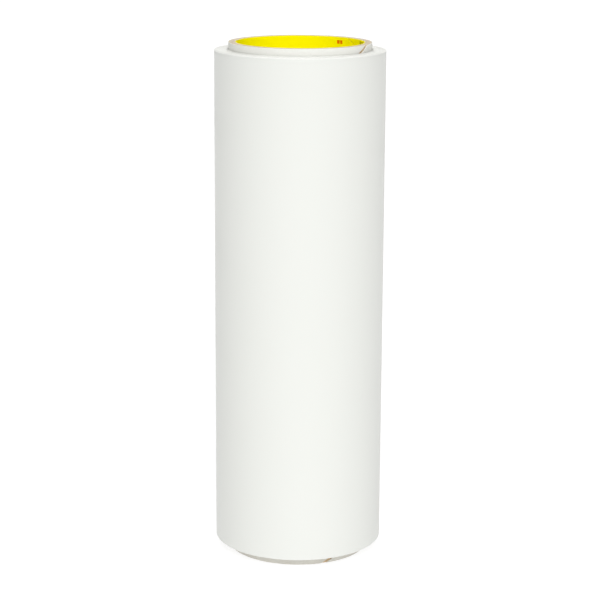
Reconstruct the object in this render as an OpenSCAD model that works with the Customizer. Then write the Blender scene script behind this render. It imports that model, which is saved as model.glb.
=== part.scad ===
/* [Core] */
// Diameter of the bore, the common 3 in size
core_bore_d = 76.6; // [75:0.1:78]
// Thickness of the core's wall, all plies together
core_wall = 4.9; // [4.5:0.1:6]
// Length of the core from end to end
core_l = 315.8; // [313:0.1:330]
// Rise of a ply's spiral in one turn round the core
seam_lead = 149; // [120:1:200]
// Seam left open between the turns of the white outer ply
outer_seam = 1.2; // [0.4:0.1:1.5]
// Seam left open between the turns of every other ply
board_seam = 0.5; // [0.3:0.1:1]
// Where the inner ply's seam meets the top rim, in degrees from +X
inner_seam_top = 41.4; // [0:0.1:360]
// Turn from one ply's seam to the next ply's
seam_step = 126.7; // [90:0.1:150]

/* [Web] */
// Width of the film and of its liner, 12 in
web_w = 304.8; // [300:0.1:306]
// How far the core stands out below the web
core_stand = 6.2; // [4:0.1:7]
// Thickness of the film with its adhesive
film_t = 0.10; // [0.08:0.01:0.15]
// Thickness of the release liner
liner_t = 0.15; // [0.12:0.01:0.18]
// Free space over each face of the film and of the liner
web_air = 0.01; // [0.01:0.01:0.02]
// How far each half turn's edges stand above or below the next one's
edge_wander = 0.04; // [0.02:0.01:0.1]
// Whole turns wound on the core, under the tail's part turn
turns = 30; // [26:1:32]

/* [Tail] */
// Where the tail starts to lift off, in degrees from +X
tail_start = 62; // [50:1:70]
// Where the film starts to peel off its liner
peel_start = 100; // [90:1:110]
// Where the tail ends
tail_end = 122; // [118:1:130]
// Space between the tail and the turn under it
tail_gap = 0.3; // [0.2:0.05:0.5]
// Space between the film's end and its liner
peel_gap = 0.1; // [0.05:0.01:0.2]
// Space left along each line where the tail bends
bend_gap = 0.3; // [0.2:0.05:0.5]

/* [Tapes] */
// Thickness of both tapes
tape_t = 0.05; // [0.04:0.01:0.08]
// Width of the double-sided strip that starts the web on the core
start_tape_w = 25; // [12:1:50]
// Width of the closing tape
close_tape_w = 19; // [12:1:25]
// Reach of the closing tape to each side of the tail's end
close_tape_reach = 12; // [8:1:15]

/* [Hidden] */
$fn = 120;
board_plies = 7;
plies = board_plies + 2;
glue_line = 0.03;
ply_t = (core_wall - (plies - 1) * glue_line) / plies;
bore_r = core_bore_d / 2;
core_r = bore_r + core_wall;
cut_over = 1;
seam_turn_per_slice = 10;
start_tape_facet = 2;

pitch = film_t + liner_t + 2 * web_air;
film_lift = liner_t + web_air;
web_start_r = core_r + tape_t + 2 * web_air + pitch / 4;
top_turn_r = web_start_r + turns * pitch - web_air;
tail_liner_r = top_turn_r + tail_gap;
tail_film_r = tail_liner_r + film_lift;
film_end_r = tail_liner_r + liner_t + peel_gap;
close_tape_r = film_end_r + film_t + web_air;
close_tape_from = tail_end - turn_for(close_tape_reach, close_tape_r);
close_tape_to = tail_end + turn_for(close_tape_reach, close_tape_r);

// Degrees that a length covers on a circle of radius r.
function turn_for(length, r) = length / r * 180 / PI;

// Points on a circle at the given angles.
function on_circle(r, angles) = [for (a = angles) r * [cos(a), sin(a)]];

// Inner radius of a core ply, counted outwards from 0 at the bore.
function ply_r(i) = bore_r + i * (ply_t + glue_line);

// The web is wound in half turns about two centres on X, half a pitch apart.
// Each half turn starts where the last one ends, so the strip grows as a spiral does.
function half_turn_r(k) = web_start_r + k * pitch / 2;
function half_turn_side(k) = k % 2 == 0 ? -1 : 1;
function half_turn_x(k) = half_turn_side(k) * pitch / 4;
function half_turn_z(k) = core_stand + half_turn_side(k) * edge_wander / 2;

// A curved wall about Z, from one angle to another.
module arc_wall(r, t, from, to, h) {
    rotate([0, 0, from])
        rotate_extrude(angle = to - from)
            translate([r, 0])
                square([t, h]);
}

// The slot that a ply's spiral seam leaves, ending at seam_top degrees on the top rim.
module spiral_slot(r, t, seam, seam_top) {
    climb = atan(seam_lead / (2 * PI * r));
    height = core_l + 2 * cut_over;
    turned = 360 * height / seam_lead;
    top = seam_top + 360 * cut_over / seam_lead;
    translate([0, 0, -cut_over])
        rotate([0, 0, top - turned])
            linear_extrude(height = height, twist = -turned,
                slices = ceil(turned / seam_turn_per_slice), $fn = 4)
                translate([r + t / 2, 0])
                    square([t + 2 * cut_over, seam / sin(climb)], center = true);
}

// One paper strip of the core, wound as a tube with a spiral seam.
module core_ply(i, seam) {
    r = ply_r(i);
    difference() {
        cylinder(r = r + ply_t, h = core_l);
        translate([0, 0, -cut_over])
            cylinder(r = r, h = core_l + 2 * cut_over);
        spiral_slot(r, ply_t, seam, inner_seam_top + i * seam_step);
    }
}

module core_inner_ply() {
    color("gold") core_ply(0, board_seam);
}

module core_board_ply(i) {
    color("burlywood") core_ply(i, board_seam);
}

module core_outer_ply() {
    color("whitesmoke") core_ply(plies - 1, outer_seam);
}

// The tape lies on the core in narrow flat facets.
module start_tape() {
    half_turn = turn_for(start_tape_w, core_r) / 2;
    facets = ceil(half_turn / start_tape_facet);
    angles = [for (i = [-facets:facets]) half_turn * i / facets];
    back = [for (i = [-facets:facets]) -half_turn * i / facets];
    inner = core_r + web_air;
    color("khaki")
        translate([0, 0, core_stand])
            linear_extrude(web_w)
                polygon(concat(on_circle(inner + tape_t, angles), on_circle(inner, back)));
}

// Half turns of a strip, from number first to number last, lifted off the spiral's own line.
module half_turns(first, last, lift, t) {
    for (k = [first:last])
        translate([half_turn_x(k), 0, half_turn_z(k)])
            arc_wall(half_turn_r(k) + lift, t, 180 * (k % 2), 180 * (k % 2 + 1), web_w);
}

// The part turn that a strip ends in, up to where the tail starts.
module last_part_turn(lift, t) {
    translate([half_turn_x(0), 0, half_turn_z(0)])
        arc_wall(half_turn_r(2 * turns) + lift, t, 0, tail_start, web_w);
}

module release_liner() {
    color("lightyellow") {
        half_turns(0, 2 * turns - 1, 0, liner_t);
        last_part_turn(0, liner_t);
    }
}

module wound_film() {
    color("white") half_turns(0, 2 * turns - 3, film_lift, film_t);
}

// The film's outermost turn, the only one that shows and can be touched.
module outer_film() {
    color("snow") {
        half_turns(2 * turns - 2, 2 * turns - 1, film_lift, film_t);
        last_part_turn(film_lift, film_t);
    }
}

// A strip of the tail, standing clear of the turn under it.
module tail_strip(r, t, from, to) {
    translate([half_turn_x(0), 0, core_stand])
        arc_wall(r, t, from, to, web_w);
}

module tail_liner() {
    color("lightyellow")
        tail_strip(tail_liner_r, liner_t, tail_start + turn_for(bend_gap, tail_liner_r), tail_end);
}

module tail_film() {
    color("white")
        tail_strip(tail_film_r, film_t, tail_start + turn_for(bend_gap, tail_film_r), peel_start);
}

module film_end() {
    color("white")
        tail_strip(film_end_r, film_t, peel_start + turn_for(bend_gap, film_end_r), tail_end);
}

// The tape lies on the film's end and reaches as far past it, over the turn below.
module closing_tape() {
    color("lightsteelblue")
        translate([half_turn_x(0), 0, core_stand + (web_w - close_tape_w) / 2])
            arc_wall(close_tape_r, tape_t, close_tape_from, close_tape_to, close_tape_w);
}

core_inner_ply();
core_board_ply(1);  // core_board_ply_1
core_board_ply(2);  // core_board_ply_2
core_board_ply(3);  // core_board_ply_3
core_board_ply(4);  // core_board_ply_4
core_board_ply(5);  // core_board_ply_5
core_board_ply(6);  // core_board_ply_6
core_board_ply(7);  // core_board_ply_7
core_outer_ply();
start_tape();
release_liner();
wound_film();
outer_film();
tail_liner();
tail_film();
film_end();
closing_tape();
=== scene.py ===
# %% [markdown]
# # A roll of sign vinyl
# The roll is a long strip of white self-adhesive film and its paper liner, wound together round a core
# that is itself wound from glued paper strips. So nearly every piece is one thing: a thin strip curled
# about an upright line. One Geometry Nodes tree makes that strip, each piece gives it other numbers,
# and the materials carry the rest.
#
# The CAD model comes first. It is the frame: its nodes give the sizes, and each piece made here stands
# for one of them.

import math

import bpy
from mathutils import Matrix, Vector


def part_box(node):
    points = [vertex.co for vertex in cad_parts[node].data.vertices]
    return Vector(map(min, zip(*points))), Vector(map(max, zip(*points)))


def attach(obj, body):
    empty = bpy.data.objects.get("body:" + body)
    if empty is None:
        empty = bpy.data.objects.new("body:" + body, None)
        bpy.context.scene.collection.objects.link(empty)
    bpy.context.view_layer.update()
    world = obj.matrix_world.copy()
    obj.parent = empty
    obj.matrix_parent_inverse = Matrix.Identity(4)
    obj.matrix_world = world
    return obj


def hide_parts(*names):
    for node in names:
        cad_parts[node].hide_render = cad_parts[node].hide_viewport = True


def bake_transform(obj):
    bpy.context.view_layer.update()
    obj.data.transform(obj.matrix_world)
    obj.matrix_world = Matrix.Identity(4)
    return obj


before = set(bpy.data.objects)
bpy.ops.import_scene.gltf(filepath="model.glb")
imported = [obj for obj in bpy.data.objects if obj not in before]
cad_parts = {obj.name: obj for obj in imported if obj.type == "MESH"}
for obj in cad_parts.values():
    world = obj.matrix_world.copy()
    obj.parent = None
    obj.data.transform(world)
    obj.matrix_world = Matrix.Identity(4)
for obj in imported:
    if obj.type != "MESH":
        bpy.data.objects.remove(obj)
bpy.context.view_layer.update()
MM = 0.001

# %% [markdown]
# ## Sizes
# A node's box gives the radius and the height of a curled strip, so the big sizes are read and not
# typed. What a box can't give, such as the thickness of the film or the angle of a seam, is named here
# with the value that the CAD source has.

# %% Read the sizes
_, core_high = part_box("core_outer_ply")
web_low, web_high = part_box("outer_film")
CORE_LENGTH = core_high.z
CORE_RADIUS = core_high.x
BORE_RADIUS = 38.3 * MM
WEB_BOTTOM = web_low.z
WEB_TOP = web_high.z
FILM = 0.10 * MM
LINER = 0.15 * MM
LAYER_GAP = 0.01 * MM
PITCH = FILM + LINER + 2 * LAYER_GAP
TURNS = 30
TAPE = 0.05 * MM
WEB_START = CORE_RADIUS + TAPE + 2 * LAYER_GAP
PLIES = 9
GLUE_LINE = 0.03 * MM
PLY = (CORE_RADIUS - BORE_RADIUS - (PLIES - 1) * GLUE_LINE) / PLIES
SEAM_LEAD = 149 * MM
print("core radius", round(CORE_RADIUS / MM, 2), "ply", round(PLY / MM, 3),
      "web from", round(WEB_BOTTOM / MM, 2), "to", round(WEB_TOP / MM, 2))

# %% [markdown]
# ## Two small helpers for node trees
# Shader trees and geometry trees are built in the same way: add a node, set what it needs, and join it
# to the last one. `add` does all three at once. A value in its dictionary is either a plain number or
# the output socket of another node, and that socket is what makes the link. `calc` is the same for the
# Math node, which both kinds of tree share.


# %% Node helpers
def add(tree, kind, inputs=None, **settings):
    """Add a node, set its own settings, and fill its inputs with values or with links."""
    node = tree.nodes.new(kind)
    for name, value in settings.items():
        setattr(node, name, value)
    for name, value in (inputs or {}).items():
        socket = node.inputs[name]
        if isinstance(value, bpy.types.NodeSocket):
            tree.links.new(value, socket)
        else:
            socket.default_value = value
    return node


def calc(tree, operation, *values):
    """One Math node. Returns its result."""
    node = add(tree, "ShaderNodeMath", dict(enumerate(values)), operation=operation)
    return node.outputs[0]


def open_tree(name, kind, inputs, outputs):
    """A node tree with named inputs and outputs. Returns it with its input and output nodes."""
    tree = bpy.data.node_groups.new(name, kind)
    for label, (socket, value) in inputs.items():
        made = tree.interface.new_socket(label, in_out="INPUT", socket_type=socket)
        if value is not None:
            made.default_value = value
    for label, socket in outputs.items():
        tree.interface.new_socket(label, in_out="OUTPUT", socket_type=socket)
    return tree, tree.nodes.new("NodeGroupInput"), tree.nodes.new("NodeGroupOutput")


# %% [markdown]
# ## The curled strip
# A flat grid is the paper on the slitter: its length runs along X and its width along Y. The tree reads
# each point's place on the grid and works out where winding takes it. The length becomes an angle, the
# radius grows by one layer for each turn, and the width stands up along Z. A twist makes the angle
# depend on the height as well, which turns straight ends into the spiral seams of a paper core.
#
# The other inputs are what a real winder does to a strip. The edge shifts a little to and fro as it
# winds, a sawn rim isn't quite level, the outermost layer isn't quite round, and a loose tail stands off
# the turn under it.
#
# The tree has four parts: how far round a point goes, how high it stands, how far out it lies, and the
# curl that puts those three together. The first three are these short functions.


# %% Parts of the tree
WANDERS_PER_TURN = 1.7
SAW_MARKS_PER_TURN = 9.0
RIPPLES_PER_TURN = 7.0
RIPPLES_UP = 5.0
RIPPLE_GROWS_OVER = 0.25


def noise_along(tree, turns, per_turn, seed, detail):
    """Noise that changes so many times in each turn of the strip."""
    noise = add(tree, "ShaderNodeTexNoise", {
        "W": calc(tree, "MULTIPLY_ADD", turns, per_turn, seed), "Scale": 1.0, "Detail": detail},
        noise_dimensions="1D")
    return noise.outputs[0]


def wound_angle(tree, give, along, across):
    """How far round the strip has gone, in radians. A toothed cut bites into both ends."""
    tooth = calc(tree, "PINGPONG", calc(tree, "MULTIPLY", across, give["Teeth"]), 0.5)
    bite = calc(tree, "MULTIPLY", calc(tree, "MULTIPLY", tooth, 2.0), give["Tooth Depth"])
    first = calc(tree, "ADD", give["From"], bite)
    last = calc(tree, "SUBTRACT", give["To"], bite)
    return calc(tree, "MULTIPLY_ADD", along, calc(tree, "SUBTRACT", last, first), first)


def strip_height(tree, give, turns, across):
    """The height, with the edge's wander, the proud first turns and the saw's uneven cut."""
    wander = noise_along(tree, turns, WANDERS_PER_TURN, give["Seed"], 2.0)
    shifted = calc(tree, "MULTIPLY", calc(tree, "SUBTRACT", wander, 0.5), give["Edge Shift"])
    proud = add(tree, "ShaderNodeMapRange", {
        "Value": turns, "From Min": give["Proud Turns"],
        "From Max": calc(tree, "ADD", give["Proud Turns"], 1.0),
        "To Min": give["Proud"], "To Max": 0.0}, interpolation_type="SMOOTHSTEP")
    saw = noise_along(tree, turns, SAW_MARKS_PER_TURN, give["Seed"], 5.0)
    trimmed = calc(tree, "MULTIPLY", saw, give["Edge Trim"])
    low = calc(tree, "ADD", give["Bottom"], trimmed)
    high = calc(tree, "SUBTRACT", give["Top"], trimmed)
    rise = calc(tree, "MULTIPLY_ADD", across, calc(tree, "SUBTRACT", high, low), low)
    return calc(tree, "ADD", calc(tree, "ADD", rise, shifted), proud.outputs[0])


def strip_radius(tree, give, wound, turns, across):
    """The radius, with the layers below, the tail's stand-off and the outer layer's ripple."""
    place = add(tree, "ShaderNodeCombineXYZ", {
        "X": calc(tree, "MULTIPLY", turns, RIPPLES_PER_TURN),
        "Y": calc(tree, "MULTIPLY", across, RIPPLES_UP), "Z": give["Seed"]})
    wave = add(tree, "ShaderNodeTexNoise", {"Vector": place.outputs[0], "Scale": 1.0, "Detail": 1.0})
    swell = calc(tree, "SINE", calc(tree, "MULTIPLY", across, math.pi))
    free = add(tree, "ShaderNodeMapRange", {
        "Value": turns, "From Min": give["Ripple From"],
        "From Max": calc(tree, "ADD", give["Ripple From"], RIPPLE_GROWS_OVER), "To Max": give["Ripple"]})
    ripple = calc(tree, "MULTIPLY", calc(tree, "MULTIPLY", wave.outputs[0], swell), free.outputs[0])
    stand = add(tree, "ShaderNodeMapRange", {
        "Value": wound, "From Min": give["Stand From"], "From Max": give["Stand To"],
        "To Max": give["Stand Off"]}, interpolation_type="SMOOTHSTEP")
    layered = calc(tree, "MULTIPLY_ADD", turns, give["Growth"], give["Radius"])
    return calc(tree, "ADD", calc(tree, "ADD", layered, ripple), stand.outputs[0])


# %% [markdown]
# ## The whole tree
# Angle, height and radius become a point in space. The place on the flat strip is kept too, as a UV map
# in metres, so that a paper's fibres and a film's bands can follow the strip round its curl. The tree
# ends with the material, and realises its geometry, so that the mesh holds all that it shows.


# %% Geometry Nodes tree: curled strip
def strip_inputs():
    """The named inputs of the tree, with lengths in metres and angles in radians."""
    number = "NodeSocketFloat"
    count = "NodeSocketInt"
    return {
        "Columns": (count, 193),
        "Rows": (count, 2),
        "Radius": (number, 0.04),
        "Growth": (number, 0.0),
        "From": (number, 0.0),
        "To": (number, math.tau),
        "Twist": (number, 0.0),
        "Bottom": (number, 0.0),
        "Top": (number, 0.3),
        "Edge Shift": (number, 0.0),
        "Proud": (number, 0.0),
        "Proud Turns": (number, 1.0),
        "Edge Trim": (number, 0.0),
        "Ripple": (number, 0.0),
        "Ripple From": (number, 0.0),
        "Teeth": (number, 0.0),
        "Tooth Depth": (number, 0.0),
        "Stand Off": (number, 0.0),
        "Stand From": (number, 0.0),
        "Stand To": (number, 1.0),
        "Seed": (number, 0.0),
        "Material": ("NodeSocketMaterial", None),
    }


def curled_strip_tree():
    tree, given, result = open_tree(
        "curled strip", "GeometryNodeTree", strip_inputs(), {"Mesh": "NodeSocketGeometry"})
    give = given.outputs
    grid = add(tree, "GeometryNodeMeshGrid", {
        "Size X": 1.0, "Size Y": 1.0, "Vertices X": give["Columns"], "Vertices Y": give["Rows"]})
    place = add(tree, "ShaderNodeSeparateXYZ", {0: add(tree, "GeometryNodeInputPosition").outputs[0]})
    along = calc(tree, "ADD", place.outputs["X"], 0.5)
    across = calc(tree, "ADD", place.outputs["Y"], 0.5)

    wound = wound_angle(tree, give, along, across)
    turns = calc(tree, "DIVIDE", wound, math.tau)
    height = strip_height(tree, give, turns, across)
    radius = strip_radius(tree, give, wound, turns, across)
    angle = calc(tree, "MULTIPLY_ADD", height, give["Twist"], wound)

    curled = add(tree, "ShaderNodeCombineXYZ", {
        "X": calc(tree, "MULTIPLY", radius, calc(tree, "COSINE", angle)),
        "Y": calc(tree, "MULTIPLY", radius, calc(tree, "SINE", angle)),
        "Z": height})
    flat = add(tree, "ShaderNodeCombineXYZ", {
        "X": calc(tree, "MULTIPLY", angle, give["Radius"]), "Y": height})
    mapped = add(tree, "GeometryNodeStoreNamedAttribute", {
        "Geometry": grid.outputs["Mesh"], "Name": "strip", "Value": flat.outputs[0]},
        data_type="FLOAT2", domain="CORNER")
    bent = add(tree, "GeometryNodeSetPosition", {
        "Geometry": mapped.outputs[0], "Position": curled.outputs[0]})
    smooth = add(tree, "GeometryNodeSetShadeSmooth", {"Geometry": bent.outputs[0]})
    real = add(tree, "GeometryNodeRealizeInstances", {"Geometry": smooth.outputs[0]})
    coated = add(tree, "GeometryNodeSetMaterial", {
        "Geometry": real.outputs[0], "Material": give["Material"]})
    tree.links.new(coated.outputs[0], result.inputs["Mesh"])
    return tree


CURLED_STRIP = curled_strip_tree()
print("tree:", CURLED_STRIP.name, len(CURLED_STRIP.nodes), "nodes")

# %% [markdown]
# ## From tree to piece
# The tree gives a sheet with no thickness. A Solidify modifier thickens it evenly to both sides, and
# a Bevel takes the razor edge off the thicker board, as a saw and a slitter do. The evaluated result
# is kept as a plain mesh, so nothing about the piece changes later, at a pose or in an export.


# %% Make one piece
SHARP_ENOUGH_TO_BEVEL = math.radians(50)
SHARP_ENOUGH_TO_SHADE = math.radians(40)


def bake(piece):
    """Replace a piece's modifiers with the mesh that they make."""
    graph = bpy.context.evaluated_depsgraph_get()
    mesh = bpy.data.meshes.new_from_object(
        piece.evaluated_get(graph), preserve_all_data_layers=True, depsgraph=graph)
    piece.modifiers.clear()
    piece.data = mesh
    mesh.name = piece.name


def curled_strip(name, material, thickness, edge=0.0, **sizes):
    """A thin strip curled about Z. Sizes are the tree's inputs, with spaces written as underscores."""
    piece = bpy.data.objects.new(name, bpy.data.meshes.new(name))
    bpy.context.scene.collection.objects.link(piece)
    winder = piece.modifiers.new("winder", "NODES")
    winder.node_group = CURLED_STRIP
    wanted = {label.strip("_").replace("_", " ").title(): value for label, value in sizes.items()}
    wanted["Material"] = material
    for item in CURLED_STRIP.interface.items_tree:
        if item.in_out == "INPUT" and item.name in wanted:
            winder[item.identifier] = wanted.pop(item.name)
    if wanted:
        raise ValueError(f"the curled strip has no input {sorted(wanted)}")
    bake(piece)
    solid = piece.modifiers.new("thickness", "SOLIDIFY")
    solid.thickness = thickness
    solid.offset = 0
    if edge:
        bevel = piece.modifiers.new("edge", "BEVEL")
        bevel.width = edge
        bevel.segments = 2
        bevel.limit_method = "ANGLE"
        bevel.angle_limit = SHARP_ENOUGH_TO_BEVEL
    bake(piece)
    piece.data.set_sharp_from_angle(angle=SHARP_ENOUGH_TO_SHADE)
    return piece


def stands_for(piece, body, slot, *nodes):
    """A piece that rides on one body and hides the CAD nodes it stands for. The slot is not used."""
    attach(piece, body)
    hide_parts(*nodes)
    print(piece.name, "rides on", body, "with", len(piece.data.polygons), "faces")


# %% [markdown]
# ## Shared surface effects
# Three small shader groups hold what several finishes need. Each puts out only masks and heights that
# vary over the surface, and each material decides what to do with them.
#
# The first is paper grain. Paper is a mat of fibres that lie mostly along the machine's run, so the
# noise for them is stretched along the strip. On top lie a finer tooth, which is what a fingertip
# feels, and the odd dark fleck of unbleached pulp.


# %% Shader group: paper grain
TOOTH_FINENESS = 4.0
FLECK_SPACING = 0.35


def grain_group():
    tree, given, result = open_tree("paper grain", "ShaderNodeTree", {
        "Vector": ("NodeSocketVector", None),
        "Scale": ("NodeSocketFloat", 900.0),
        "Stretch": ("NodeSocketFloat", 5.0),
    }, {"Fibres": "NodeSocketFloat", "Tooth": "NodeSocketFloat", "Flecks": "NodeSocketFloat"})
    place = add(tree, "ShaderNodeSeparateXYZ", {0: given.outputs["Vector"]})
    pulled = add(tree, "ShaderNodeCombineXYZ", {
        "X": calc(tree, "DIVIDE", place.outputs["X"], given.outputs["Stretch"]),
        "Y": place.outputs["Y"], "Z": place.outputs["Z"]})
    fibres = add(tree, "ShaderNodeTexNoise", {
        "Vector": pulled.outputs[0], "Scale": given.outputs["Scale"], "Detail": 5.0,
        "Roughness": 0.65, "Distortion": 0.6})
    tooth = add(tree, "ShaderNodeTexNoise", {
        "Vector": given.outputs["Vector"], "Detail": 3.0,
        "Scale": calc(tree, "MULTIPLY", given.outputs["Scale"], TOOTH_FINENESS)})
    spots = add(tree, "ShaderNodeTexVoronoi", {
        "Vector": pulled.outputs[0], "Randomness": 1.0,
        "Scale": calc(tree, "MULTIPLY", given.outputs["Scale"], FLECK_SPACING)})
    fleck = add(tree, "ShaderNodeMapRange", {
        "Value": spots.outputs["Distance"], "From Min": 0.05, "From Max": 0.14,
        "To Min": 1.0, "To Max": 0.0})
    tree.links.new(fibres.outputs[0], result.inputs["Fibres"])
    tree.links.new(tooth.outputs[0], result.inputs["Tooth"])
    tree.links.new(fleck.outputs[0], result.inputs["Flecks"])
    return tree


GRAIN = grain_group()
print("shader group:", GRAIN.name)

# %% [markdown]
# ## Wear and handling
# The second group is rim wear: a mask that is one close to the two cut ends and ragged where it fades,
# as an edge is that has been knocked and rubbed. The third is handling: faint smudges from hands, and
# small specks of dust that lie in some places and not in others.


# %% Shader groups: rim wear and handling
DUST_IS_SPARSE = 0.62


def rim_group():
    tree, given, result = open_tree("rim wear", "ShaderNodeTree", {
        "Vector": ("NodeSocketVector", None),
        "Bottom": ("NodeSocketFloat", 0.0),
        "Top": ("NodeSocketFloat", 0.3),
        "Reach": ("NodeSocketFloat", 0.001),
    }, {"Wear": "NodeSocketFloat"})
    height = add(tree, "ShaderNodeSeparateXYZ", {0: given.outputs["Vector"]}).outputs["Z"]
    nearest = calc(tree, "MINIMUM", calc(tree, "SUBTRACT", height, given.outputs["Bottom"]),
                   calc(tree, "SUBTRACT", given.outputs["Top"], height))
    ragged = add(tree, "ShaderNodeTexNoise", {
        "Vector": given.outputs["Vector"], "Scale": 700.0, "Detail": 4.0})
    reach = calc(tree, "MULTIPLY", given.outputs["Reach"], calc(tree, "MULTIPLY", ragged.outputs[0], 2.0))
    wear = add(tree, "ShaderNodeMapRange", {
        "Value": nearest, "From Min": 0.0, "From Max": reach, "To Min": 1.0, "To Max": 0.0})
    tree.links.new(wear.outputs[0], result.inputs["Wear"])
    return tree


def handling_group():
    tree, given, result = open_tree("handling", "ShaderNodeTree", {
        "Vector": ("NodeSocketVector", None),
    }, {"Smudge": "NodeSocketFloat", "Dust": "NodeSocketFloat"})
    cloud = add(tree, "ShaderNodeTexNoise", {
        "Vector": given.outputs["Vector"], "Scale": 22.0, "Detail": 4.0, "Roughness": 0.55,
        "Distortion": 0.8})
    smudge = add(tree, "ShaderNodeMapRange", {
        "Value": cloud.outputs[0], "From Min": 0.5, "From Max": 0.75}, interpolation_type="SMOOTHSTEP")
    specks = add(tree, "ShaderNodeTexVoronoi", {"Vector": given.outputs["Vector"], "Scale": 260.0})
    dust = add(tree, "ShaderNodeMapRange", {
        "Value": specks.outputs["Distance"], "From Min": 0.03, "From Max": 0.06,
        "To Min": 1.0, "To Max": 0.0})
    here = add(tree, "ShaderNodeTexNoise", {"Vector": given.outputs["Vector"], "Scale": 60.0})
    dusty_place = calc(tree, "GREATER_THAN", here.outputs[0], DUST_IS_SPARSE)
    sparse = calc(tree, "MULTIPLY", dust.outputs[0], dusty_place)
    tree.links.new(smudge.outputs[0], result.inputs["Smudge"])
    tree.links.new(sparse, result.inputs["Dust"])
    return tree


RIM = rim_group()
HANDLING = handling_group()
print("shader groups:", RIM.name, "and", HANDLING.name)

# %% [markdown]
# ## Helpers for the materials
# Each finish starts from the same Principled shader and ends in a bump. A pattern follows one of two
# places. Fibres read the strip's own flat UV map, so they run along the paper as it was made. Dust and
# wear came later and read the object's coordinates.


# %% Material helpers
def use(tree, group, inputs):
    """A shader group placed in a material."""
    return add(tree, "ShaderNodeGroup", inputs, node_tree=group).outputs


def tint(tree, factor, first, second):
    """Mix two colours, each a colour or a link."""
    first, second = (
        colour if isinstance(colour, bpy.types.NodeSocket) else (*colour, 1.0)
        for colour in (first, second))
    # A Mix node has sockets for each kind of data. These are the ones for colours.
    node = add(tree, "ShaderNodeMix", {0: factor, 6: first, 7: second}, data_type="RGBA")
    return node.outputs[2]


def start_material(name, viewport):
    """An empty material with its Principled shader, and the two places that patterns follow."""
    material = bpy.data.materials.new(name)
    material.use_nodes = True
    material.diffuse_color = (*viewport, 1.0)
    tree = material.node_tree
    shader = tree.nodes["Principled BSDF"]
    place = tree.nodes.new("ShaderNodeTexCoord").outputs["Object"]
    strip = add(tree, "ShaderNodeUVMap", uv_map="strip").outputs[0]
    return material, tree, shader, place, strip


def dents(tree, shader, height, depth):
    """Turn a height that varies from 0 to 1 into a bump of that depth, in metres."""
    bump = add(tree, "ShaderNodeBump", {"Height": height, "Distance": depth})
    tree.links.new(bump.outputs[0], shader.inputs["Normal"])


# %% [markdown]
# ## The film's finish
# Calendered vinyl is almost white with a faint green-grey cast, and satin: light spreads in it, but its
# sheen still shows where a lamp stands. The rollers that make it leave a very shallow orange peel, and
# the winder leaves faint bands where the tension changed. Both are heights for a bump, far too shallow
# to change the outline. A slitter's blade presses the film over on one side of its cut and leaves the
# The cut ends, and a thin band of the face next to them, are painted paler than the face. This is partly
# the cut's own paler tone and partly painted light that lifts the shade between the wound layers on the
# end face. Smudges only change how rough the film is.


# %% Film material
FILM_LIGHT = (0.806, 0.816, 0.780)
FILM_DARK = (0.790, 0.802, 0.762)
# Partly the cut's own tone, partly painted light on the end face.
FILM_CUT_AND_LIGHT = (0.90, 0.905, 0.875)
FILM_DUST = (0.55, 0.54, 0.50)
FILM_ROUGHNESS = 0.40
SMUDGE_ROUGHNESS = 0.07
DUST_ON_FILM = 0.25
PEEL_SHARE = 0.35
PEEL_DEPTH = 0.02 * MM
CUT_AND_LIGHT_REACH = 0.5 * MM
FALL_REACH = 2.0 * MM
FALL_DEPTH = 0.25 * MM


def round_off_edge(tree, shader, place):
    """Let the film's outline fall away softly over the last stretch before its upper edge."""
    height = add(tree, "ShaderNodeSeparateXYZ", {0: place}).outputs["Z"]
    below_edge = calc(tree, "SUBTRACT", WEB_TOP, height)
    fall = add(tree, "ShaderNodeMapRange", {"Value": below_edge, "From Max": FALL_REACH},
               interpolation_type="SMOOTHSTEP")
    fine = shader.inputs["Normal"].links[0].from_socket
    bump = add(tree, "ShaderNodeBump", {
        "Height": fall.outputs[0], "Distance": FALL_DEPTH, "Normal": fine})
    tree.links.new(bump.outputs[0], shader.inputs["Normal"])


def film_finish():
    material, tree, shader, place, strip = start_material("satin film", (0.9, 0.9, 0.88))
    handled = use(tree, HANDLING, {"Vector": place})
    peel = add(tree, "ShaderNodeTexNoise", {
        "Vector": place, "Scale": 700.0, "Detail": 2.0, "Roughness": 0.4})
    flat = add(tree, "ShaderNodeSeparateXYZ", {0: strip})
    bands = add(tree, "ShaderNodeTexNoise", {
        "W": flat.outputs["Y"], "Scale": 45.0, "Detail": 3.0}, noise_dimensions="1D")
    cloud = add(tree, "ShaderNodeTexNoise", {"Vector": place, "Scale": 9.0, "Detail": 2.0})
    white = tint(tree, cloud.outputs[0], FILM_DARK, FILM_LIGHT)
    # Paler cut ends: partly the cut's own tone, partly painted light that lifts the end face's shade.
    cut_and_light = use(tree, RIM, {"Vector": place, "Bottom": WEB_BOTTOM, "Top": WEB_TOP, "Reach": CUT_AND_LIGHT_REACH})
    cut_and_lit = tint(tree, cut_and_light["Wear"], white, FILM_CUT_AND_LIGHT)
    dusty = tint(tree, calc(tree, "MULTIPLY", handled["Dust"], DUST_ON_FILM), cut_and_lit, FILM_DUST)
    tree.links.new(dusty, shader.inputs["Base Color"])
    rough = calc(tree, "MULTIPLY_ADD", handled["Smudge"], SMUDGE_ROUGHNESS, FILM_ROUGHNESS)
    tree.links.new(rough, shader.inputs["Roughness"])
    shader.inputs["IOR"].default_value = 1.5
    height = calc(tree, "MULTIPLY_ADD", peel.outputs[0], PEEL_SHARE, bands.outputs[0])
    dents(tree, shader, height, PEEL_DEPTH)
    round_off_edge(tree, shader, place)
    return material


film = film_finish()
print(film.name, "with an orange peel of", PEEL_DEPTH / MM, "mm")

# %% [markdown]
# ## The papers' finishes
# Four papers differ in colour, in how coarse their fibres are and in how shiny they are. One function
# makes all of them. A rim is worn in its own colour: torn board shows raw brown fibre, and printed
# paper shows its white body where the colour has rubbed off.


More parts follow.
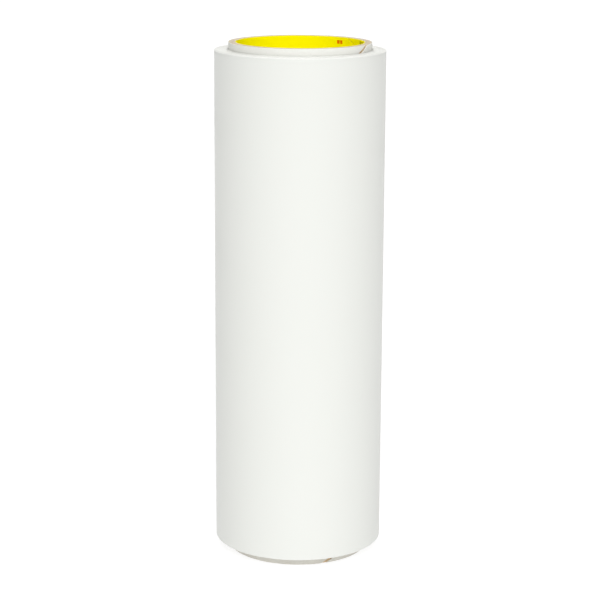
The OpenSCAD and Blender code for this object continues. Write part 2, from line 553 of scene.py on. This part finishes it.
# %% Paper material
PAPER_DUST = (0.35, 0.33, 0.30)
DUST_ON_PAPER = 0.3
FLECK_STRENGTH = 0.35
WEAR_STRENGTH = 0.9
WORN_SHADE = 0.86
CUT_FINENESS = 1.5
TOOTH_ROUGHNESS = 0.12
WORN_ROUGHNESS = 0.15
TOOTH_SHARE = 0.4


def paper_finish(name, light, dark, fleck, worn, ends, roughness, scale, depth, reach=0.6 * MM, gloss=0.5):
    """A paper's finish. The rim wear reaches in from both ends, and depth is how rough its face is."""
    material, tree, shader, place, strip = start_material(name, light)
    grain = use(tree, GRAIN, {"Vector": strip, "Scale": scale})
    cut = use(tree, GRAIN, {"Vector": place, "Scale": scale * CUT_FINENESS, "Stretch": 1.5})
    wear = use(tree, RIM, {
        "Vector": place, "Bottom": ends[0], "Top": ends[1], "Reach": reach})["Wear"]
    handled = use(tree, HANDLING, {"Vector": place})

    fibres = calc(tree, "MULTIPLY", calc(tree, "ADD", grain["Fibres"], cut["Fibres"]), 0.5)
    contrast = add(tree, "ShaderNodeMapRange", {
        "Value": fibres, "From Min": 0.38, "From Max": 0.62}).outputs[0]
    worn_dark = tuple(WORN_SHADE * channel for channel in worn)
    body = tint(tree, contrast, dark, light)
    flecked = tint(tree, calc(tree, "MULTIPLY", cut["Flecks"], FLECK_STRENGTH), body, fleck)
    torn = tint(tree, contrast, worn_dark, worn)
    rubbed = tint(tree, calc(tree, "MULTIPLY", wear, WEAR_STRENGTH), flecked, torn)
    soiled = tint(tree, calc(tree, "MULTIPLY", handled["Dust"], DUST_ON_PAPER), rubbed, PAPER_DUST)
    tree.links.new(soiled, shader.inputs["Base Color"])

    rough = calc(tree, "MULTIPLY_ADD", grain["Tooth"], TOOTH_ROUGHNESS, roughness)
    rougher = calc(tree, "MULTIPLY_ADD", wear, WORN_ROUGHNESS, rough)
    tree.links.new(rougher, shader.inputs["Roughness"])
    shader.inputs["Specular IOR Level"].default_value = gloss
    dents(tree, shader, calc(tree, "MULTIPLY_ADD", grain["Tooth"], TOOTH_SHARE, fibres), depth)
    return material


CORE_ENDS = (0.0, CORE_LENGTH)
WEB_ENDS = (WEB_BOTTOM, WEB_TOP)
liner = paper_finish(
    "release liner", light=(0.90, 0.905, 0.865), dark=(0.86, 0.86, 0.81), fleck=(0.70, 0.70, 0.65),
    worn=(0.92, 0.92, 0.88), ends=WEB_ENDS, roughness=0.42, scale=1400.0, depth=0.01 * MM)
board = paper_finish(
    "core board", light=(0.74, 0.55, 0.34), dark=(0.60, 0.43, 0.24), fleck=(0.30, 0.20, 0.11),
    worn=(0.73, 0.66, 0.545), ends=CORE_ENDS, roughness=0.78, scale=900.0, depth=0.06 * MM,
    reach=0.5 * MM)
white_paper = paper_finish(
    "white paper", light=(0.86, 0.86, 0.82), dark=(0.82, 0.82, 0.77), fleck=(0.66, 0.64, 0.58),
    worn=(0.84, 0.83, 0.77), ends=CORE_ENDS, roughness=0.55, scale=1100.0, depth=0.015 * MM,
    reach=0.3 * MM)
yellow_paper = paper_finish(
    "yellow paper", light=(0.98, 0.915, 0.0), dark=(0.955, 0.885, 0.0), fleck=(0.90, 0.75, 0.0),
    worn=(0.90, 0.80, 0.12), ends=CORE_ENDS, roughness=0.6, scale=1100.0, depth=0.012 * MM,
    reach=0.25 * MM, gloss=0.03)
print("papers:", [paper.name for paper in (liner, board, white_paper, yellow_paper)])

# %% [markdown]
# ## Painted shade on the foot
# The core's white paper is painted darker at the floor end, as painted shade for the shadow under the
# web's overhang. The shade is densest at the very end, thins out over the part that stands clear of
# the web, and is patchy.


# %% Paint shade on the core's foot
FOOT_HEIGHT = 9.0 * MM
# Painted shade near the floor, in a greyish brown.
FOOT_SHADE = (0.48, 0.42, 0.32)
MOST_SHADE = 0.42


def shade_foot(material):
    """Mix painted shade into a material's colour near the floor."""
    tree = material.node_tree
    base = tree.nodes["Principled BSDF"].inputs["Base Color"]
    unshaded = base.links[0].from_socket
    place = tree.nodes.new("ShaderNodeTexCoord").outputs["Object"]
    height = add(tree, "ShaderNodeSeparateXYZ", {0: place}).outputs["Z"]
    low = add(tree, "ShaderNodeMapRange", {
        "Value": height, "From Max": FOOT_HEIGHT, "To Min": MOST_SHADE, "To Max": 0.0})
    patches = add(tree, "ShaderNodeTexNoise", {"Vector": place, "Scale": 130.0, "Detail": 4.0})
    painted_shade = calc(tree, "MULTIPLY", low.outputs[0], calc(tree, "ADD", patches.outputs[0], 0.5))
    tree.links.new(tint(tree, painted_shade, unshaded, FOOT_SHADE), base)


shade_foot(white_paper)
print("dirt up to", FOOT_HEIGHT / MM, "mm on", white_paper.name)

# %% [markdown]
# ## Glow and ink on the yellow paper
# The yellow paper gets a little emission: painted light that lifts the wall of the bore, where less of
# the lamps' light reaches, to a brighter yellow.
#
# The inner ply also carries printed marks near the rim. Plain dashes stand for them here. Each mark is
# a box on the bore's wall, in millimetres along it and up it, cut into dashes by a repeating step, and
# a little noise moves its edges as ink does when it soaks into paper.


# %% Print the marks
# Painted light: how strongly the yellow paper glows, though it is no lamp.
PAINTED_GLOW = 0.06
INK_BLEED = 0.25 * MM
RED_INK = (0.78, 0.06, 0.0)
RED_COVERS = 0.92
DARK_INK = (0.10, 0.08, 0.02)
DARK_COVERS = 0.8
RED_MARK = {
    "turn": 50.8, "height": CORE_LENGTH - 3.1 * MM, "length": 4.4 * MM, "tall": 2.2 * MM,
    "period": 2.4 * MM, "fill": 0.8}
DARK_MARK = {
    "turn": 15.0, "height": CORE_LENGTH - 1.9 * MM, "length": 7.0 * MM, "tall": 1.8 * MM,
    "period": 1.9 * MM, "fill": 0.65}


def dashes(tree, place, turn, height, length, tall, period, fill):
    """A mask for a row of dashes centred at an angle and a height on the bore's wall."""
    bleed = add(tree, "ShaderNodeTexNoise", {"Vector": place, "Scale": 2500.0})
    spread = calc(tree, "MULTIPLY_ADD", bleed.outputs[0], 2 * INK_BLEED, -INK_BLEED)
    point = add(tree, "ShaderNodeSeparateXYZ", {0: place}).outputs
    angle = calc(tree, "ARCTAN2", point["Y"], point["X"])
    along = calc(tree, "MULTIPLY", calc(tree, "SUBTRACT", angle, math.radians(turn)), BORE_RADIUS)
    along = calc(tree, "ADD", along, spread)
    up = calc(tree, "ADD", calc(tree, "SUBTRACT", point["Z"], height), spread)
    inside = calc(tree, "MULTIPLY",
                  calc(tree, "LESS_THAN", calc(tree, "ABSOLUTE", along), length / 2),
                  calc(tree, "LESS_THAN", calc(tree, "ABSOLUTE", up), tall / 2))
    step = calc(tree, "FRACT", calc(tree, "DIVIDE", along, period))
    return calc(tree, "MULTIPLY", inside, calc(tree, "LESS_THAN", step, fill))


def print_marks(material):
    """Paint light into the yellow with a small glow, and put both marks on it."""
    tree = material.node_tree
    shader = tree.nodes["Principled BSDF"]
    # Painted light: a small yellow glow lifts the bore's wall.
    shader.inputs["Emission Color"].default_value = (1.0, 0.92, 0.0, 1.0)
    shader.inputs["Emission Strength"].default_value = PAINTED_GLOW
    place = tree.nodes.new("ShaderNodeTexCoord").outputs["Object"]
    paper = shader.inputs["Base Color"].links[0].from_socket
    red = calc(tree, "MULTIPLY", dashes(tree, place, **RED_MARK), RED_COVERS)
    dark = calc(tree, "MULTIPLY", dashes(tree, place, **DARK_MARK), DARK_COVERS)
    marked = tint(tree, dark, tint(tree, red, paper, RED_INK), DARK_INK)
    tree.links.new(marked, shader.inputs["Base Color"])


print_marks(yellow_paper)
print("marks at", RED_MARK["turn"], "and", DARK_MARK["turn"], "degrees")

# %% [markdown]
# ## The tape's finish
# Matt office tape is nearly clear on white film: what gives it away is a slightly warmer tone, a dull
# surface and small air bubbles where it hasn't bedded down. Alpha makes it see-through. It is a little
# paler and more solid at a bubble, where the adhesive doesn't touch.


# %% Tape material
TAPE_TONE = (0.93, 0.925, 0.88)
BUBBLE_TONE = (0.96, 0.96, 0.93)
TAPE_ROUGHNESS = 0.45
BUBBLE_ROUGHNESS = 0.2
TAPE_ALPHA = 0.20
BUBBLE_ALPHA = 0.10
BUBBLE_DEPTH = 0.02 * MM


def tape_finish():
    material, tree, shader, place, _ = start_material("matt tape", TAPE_TONE)
    blobs = add(tree, "ShaderNodeTexNoise", {"Vector": place, "Scale": 420.0, "Detail": 2.0})
    bubbles = add(tree, "ShaderNodeMapRange", {
        "Value": blobs.outputs[0], "From Min": 0.54, "From Max": 0.72}).outputs[0]
    rough = calc(tree, "MULTIPLY_ADD", bubbles, BUBBLE_ROUGHNESS, TAPE_ROUGHNESS)
    cover = calc(tree, "MULTIPLY_ADD", bubbles, BUBBLE_ALPHA, TAPE_ALPHA)
    tree.links.new(tint(tree, bubbles, TAPE_TONE, BUBBLE_TONE), shader.inputs["Base Color"])
    tree.links.new(rough, shader.inputs["Roughness"])
    tree.links.new(cover, shader.inputs["Alpha"])
    dents(tree, shader, blobs.outputs[0], BUBBLE_DEPTH)
    return material


tape = tape_finish()
print("materials:", [material.name for material in bpy.data.materials])

# %% [markdown]
# ## The core
# A paper core is wound from strips on a slant, one over another, so every ply is a tube with one spiral
# seam. All nine seams climb at the same rate, and each starts a third of a turn or so from the last, so
# that no two seams lie over each other. The white outer ply was wound with a gap of more than a
# millimetre, its edges have worn back a little, and the brown board shows through it. The ends are
# sawn, which leaves each ply a hair longer or shorter than the next.


# %% Core plies
INNER_SEAM_TOP = math.radians(41.4)
SEAM_STEP = math.radians(126.7)
TWIST = math.tau / SEAM_LEAD
BOARD_SEAM = 0.5 * MM
OUTER_SEAM = 1.6 * MM
PLY_EDGE = 0.05 * MM
UNEVEN_SAW_CUT = 0.12 * MM
SEED_STEP = 7.3


def core_ply(number, node, material, slot, seam, columns, rows):
    """One ply, counted outwards from 0 at the bore, with its seam's width measured across the seam."""
    radius = BORE_RADIUS + number * (PLY + GLUE_LINE) + PLY / 2
    climb = math.atan2(SEAM_LEAD, math.tau * radius)
    gap = seam / math.sin(climb) / radius
    start = INNER_SEAM_TOP + number * SEAM_STEP - CORE_LENGTH * TWIST
    piece = curled_strip(
        f"{node}_strip", material, PLY, edge=PLY_EDGE, columns=columns, rows=rows, radius=radius,
        from_=start + gap / 2, to=start + math.tau - gap / 2, twist=TWIST,
        bottom=0.0, top=CORE_LENGTH, edge_trim=UNEVEN_SAW_CUT, seed=number * SEED_STEP)
    stands_for(piece, "roll", slot, node)


core_ply(0, "core_inner_ply", yellow_paper, "yellow_paper", BOARD_SEAM, columns=161, rows=161)
for number in range(1, PLIES - 1):
    core_ply(number, f"core_board_ply_{number}", board, "core_board", BOARD_SEAM, columns=97, rows=121)
core_ply(PLIES - 1, "core_outer_ply", white_paper, "white_paper", OUTER_SEAM, columns=129, rows=129)
print("core of", PLIES, "plies, a turn of every seam in", round(SEAM_LEAD / MM), "mm")

# %% [markdown]
# ## The wound film and liner
# Film and liner are wound as one web, nine metres of it. Each layer of the tree's spiral lies
# one pitch outside the last, and both strips share one seed, so they wander sideways together as they
# do on the winder. All but the last turn shows only its edges, so two rows of points across the width
# are enough for it. The last turn shows its whole face and gets a fine grid and a slight ripple. The
# first few turns went on before the web was running true, so they stand a little proud at the top.
#
# Every piece of web has its points at the same angles. The flats between them then lie parallel from
# one layer to the next, and layers a hundredth of a millimetre apart never cut each other.


# %% Wound film and liner
def turn_at(degrees):
    """The count of turns wound at an angle on the part turn that ends in the tail."""
    return TURNS + degrees / 360


POINTS_PER_TURN = 192
TURN = math.tau
TAIL_START = turn_at(30)
TAIL_FRONT = turn_at(90)
TAIL_END = turn_at(121.875)
# The outermost turn starts here: nothing lies over the web from here on.
FREE_TURN = TAIL_END - 1
# Each layer is drawn this much thicker, to close the free space that CAD leaves round it.
TIGHT = 0.008 * MM
RIPPLE = 0.12 * MM
WANDER = 0.4 * MM
PROUD = 0.5 * MM
PROUD_TURNS = 2.2
WEB_SEED = 3.0


def web_strip(name, material, first, last, rows, **more):
    """A length of the web from one count of turns to another, in film or in liner."""
    is_film = material is film
    middle = WEB_START + (LINER + LAYER_GAP + FILM / 2 if is_film else LINER / 2)
    sizes = {
        "columns": round((last - first) * POINTS_PER_TURN) + 1, "rows": rows, "radius": middle,
        "growth": PITCH, "from_": first * TURN, "to": last * TURN, "bottom": WEB_BOTTOM,
        "top": WEB_TOP, "edge_shift": WANDER, "proud": PROUD, "proud_turns": PROUD_TURNS,
        "seed": WEB_SEED, "ripple_from": FREE_TURN}
    sizes.update(more)
    return curled_strip(name, material, (FILM if is_film else LINER) + TIGHT, **sizes)


wound_liner = web_strip("liner_wound", liner, 0, TAIL_START, 2)
stands_for(wound_liner, "roll", "liner_paper", "release_liner")
wound_film = web_strip("film_wound", film, 0, TURNS - 1, 2)
stands_for(wound_film, "roll", "vinyl", "wound_film")
outer_film = web_strip("film_outer_turn", film, TURNS - 1, TAIL_START, 33, ripple=RIPPLE)
stands_for(outer_film, "roll", "vinyl", "outer_film")
web_length = TAIL_END * TURN * (WEB_START + PITCH * TAIL_END / 2)
print("length of the web", round(web_length, 2), "m, outer radius", round(web_high.x / MM, 1), "mm")

# %% [markdown]
# ## The tail
# The free end of the web stands a little off the turn under it, and it lifts: first film and liner
# together, then the film alone as it peels. Each piece of the tail is made at rest. The angles of its
# bend are listed, and nothing here bends it.


def bends(piece, slot, first_body, second_body, first, last, *nodes):
    """A piece that crosses a joint, with its transform baked and its CAD nodes hidden. The two angles, in
    degrees, and the slot are not used.
    """
    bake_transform(piece)
    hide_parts(*nodes)
    print(piece.name, "bends from", first_body, "to", second_body)


LIFT_AXIS = 62
LIFT_BEND_END = 84
PEEL_AXIS = 100
PEEL_BEND_END = 108.6
LOOSE = 0.30 * MM
TIP_LOOSE = 0.09 * MM
LIFTING = {
    "stand_off": LOOSE,
    "stand_from": turn_at(45) * TURN,
    "stand_to": turn_at(80) * TURN}
tail_liner = web_strip("liner_tail", liner, TAIL_START, TAIL_END, 33, **LIFTING)
bends(tail_liner, "liner_paper", "roll", "tail", LIFT_AXIS, LIFT_BEND_END, "tail_liner")
tail_film = web_strip("film_tail", film, TAIL_START, TAIL_FRONT, 33, ripple=RIPPLE, **LIFTING)
bends(tail_film, "vinyl", "roll", "tail", LIFT_AXIS, LIFT_BEND_END, "tail_film")
film_tip = web_strip(
    "film_tip", film, TAIL_FRONT, TAIL_END, 33, ripple=RIPPLE,
    radius=WEB_START + LINER + LAYER_GAP + FILM / 2 + LOOSE, stand_off=TIP_LOOSE,
    stand_from=turn_at(95) * TURN, stand_to=turn_at(115) * TURN)
bends(film_tip, "vinyl", "tail", "film_tip", PEEL_AXIS, PEEL_BEND_END, "film_end")

# %% [markdown]
# ## The two tapes
# A strip of tape holds the web's start to the core, under everything. A short piece of matt tape
# closes the roll: it lies on the film's end, steps down off it and sticks to the turn below. It was
# pulled over a toothed cutter, which leaves small points along both its ends. The tree makes them
# by biting into the length of every other row.

# %% Tapes
start_low, start_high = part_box("start_tape")
HALF_START = math.asin(start_high.y / (CORE_RADIUS + TAPE + LAYER_GAP))
start_tape = curled_strip(
    "start_tape_strip", tape, TAPE, columns=25, rows=41, radius=CORE_RADIUS + LAYER_GAP + TAPE / 2,
    from_=-HALF_START, to=HALF_START, bottom=start_low.z, top=start_high.z)
stands_for(start_tape, "roll", "clear_tape", "start_tape")

close_low, close_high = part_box("closing_tape")
WEB_LAYER = LINER + LAYER_GAP + FILM
TURN_PAST_END = 0.03
TIP_SKIN = WEB_START + PITCH * TAIL_END + WEB_LAYER + LOOSE + TIP_LOOSE
LOWER_SKIN = WEB_START + PITCH * (FREE_TURN + TURN_PAST_END) + WEB_LAYER
TEETH = 12
TOOTH = 0.6 * MM
CLOSE_FROM, CLOSE_TO = math.radians(108.8), math.radians(135.2)
STEP_FROM, STEP_TO = math.radians(122.2), math.radians(131)
closing_tape = curled_strip(
    "closing_tape_strip", tape, TAPE, columns=89, rows=2 * TEETH + 1,
    radius=TIP_SKIN + RIPPLE + TAPE / 2, from_=CLOSE_FROM, to=CLOSE_TO,
    bottom=close_low.z, top=close_high.z, teeth=TEETH, tooth_depth=TOOTH / TIP_SKIN,
    stand_off=LOWER_SKIN - TIP_SKIN - RIPPLE / 2, stand_from=STEP_FROM, stand_to=STEP_TO)
stands_for(closing_tape, "film_tip", "clear_tape", "closing_tape")

# %% [markdown]
# ## Floor and light
# A plain white floor runs far enough back that the camera sees nothing else. Light comes from
# everywhere, as in a white tent: the world gives a little of it, and the floor glows as a lit white
# sheet does, which also keeps the floor brighter than the film. A broad soft light in front lifts the
# middle of the roll and lets its sides fall off. A second one from behind and above lights the top rim
# and the back. The camera sees the world brighter than the roll does, so what lies past the floor's
# edge is as white as the floor.


# %% Floor and light
FLOOR_HALF = 15.0
FLOOR_DARK = (0.24, 0.24, 0.24)
FLOOR_LIGHT = (0.26, 0.26, 0.26)
FLOOR_GLOW = 0.79
WORLD_LIGHT = 0.17
WORLD_SEEN = 0.9


def stage_floor():
    material, tree, shader, place, _ = start_material("studio floor", (0.9, 0.9, 0.9))
    mottle = add(tree, "ShaderNodeTexNoise", {"Vector": place, "Scale": 3.0, "Detail": 3.0})
    tone = tint(tree, mottle.outputs[0], FLOOR_DARK, FLOOR_LIGHT)
    tree.links.new(tone, shader.inputs["Base Color"])
    shader.inputs["Emission Color"].default_value = (1.0, 1.0, 1.0, 1.0)
    shader.inputs["Emission Strength"].default_value = FLOOR_GLOW
    shader.inputs["Roughness"].default_value = 0.9
    corners = [(x * FLOOR_HALF, y * FLOOR_HALF, 0) for x, y in ((-1, -1), (1, -1), (1, 1), (-1, 1))]
    mesh = bpy.data.meshes.new("floor")
    mesh.from_pydata(corners, [], [(0, 1, 2, 3)])
    mesh.materials.append(material)
    floor = bpy.data.objects.new("floor", mesh)
    bpy.context.scene.collection.objects.link(floor)


def soft_sky(name, comes_from, strength, spread):
    """A broad light from far off, the same all over the floor. Its spread is in degrees."""
    lamp = bpy.data.lights.new(name, "SUN")
    lamp.energy = strength
    lamp.angle = math.radians(spread)
    light = bpy.data.objects.new(name, lamp)
    light.rotation_euler = Vector(comes_from).to_track_quat("Z", "Y").to_euler()
    bpy.context.scene.collection.objects.link(light)
    print(name, "of strength", strength, "spread over", spread, "degrees")


def white_tent():
    """A white world that lights the roll a little and shows as plain white."""
    world = bpy.data.worlds.new("white tent")
    world.use_nodes = True
    tree = world.node_tree
    air = tree.nodes["Background"]
    is_seen = tree.nodes.new("ShaderNodeLightPath").outputs["Is Camera Ray"]
    air.inputs["Color"].default_value = (1.0, 1.0, 1.0, 1.0)
    tree.links.new(calc(tree, "MULTIPLY_ADD", is_seen, WORLD_SEEN, WORLD_LIGHT), air.inputs["Strength"])
    return world


stage_floor()
soft_sky("front light", comes_from=(0.06, -0.72, 0.69), strength=2.3, spread=48)
soft_sky("back light", comes_from=(-0.08, 0.52, 0.85), strength=1.4, spread=60)
scene = bpy.context.scene
scene.world = white_tent()
scene.view_settings.view_transform = "Standard"

# %% [markdown]
# ## The camera
# The camera stands well away with a long lens, a little above the roll, so it looks down on the top rim
# and into the bore. A long lens keeps the roll's sides almost parallel.

# %% Camera
CAMERA_PLACE = (0, -1.1384, 0.4284)
PITCH_DOWN = math.radians(13.413)
YAW_RIGHT = math.radians(0.037)
TILT = math.radians(0.311)

lens = bpy.data.cameras.new("camera")
lens.sensor_width = 36
lens.lens = 113.74
lens.clip_end = 50
camera = bpy.data.objects.new("camera", lens)
camera.matrix_world = (
    Matrix.Translation(CAMERA_PLACE) @ Matrix.Rotation(-YAW_RIGHT, 4, "Z")
    @ Matrix.Rotation(math.pi / 2 - PITCH_DOWN, 4, "X") @ Matrix.Rotation(TILT, 4, "Z"))
scene.collection.objects.link(camera)
scene.camera = camera
print("camera", round(Vector(CAMERA_PLACE).length, 3), "m from the roll's foot")
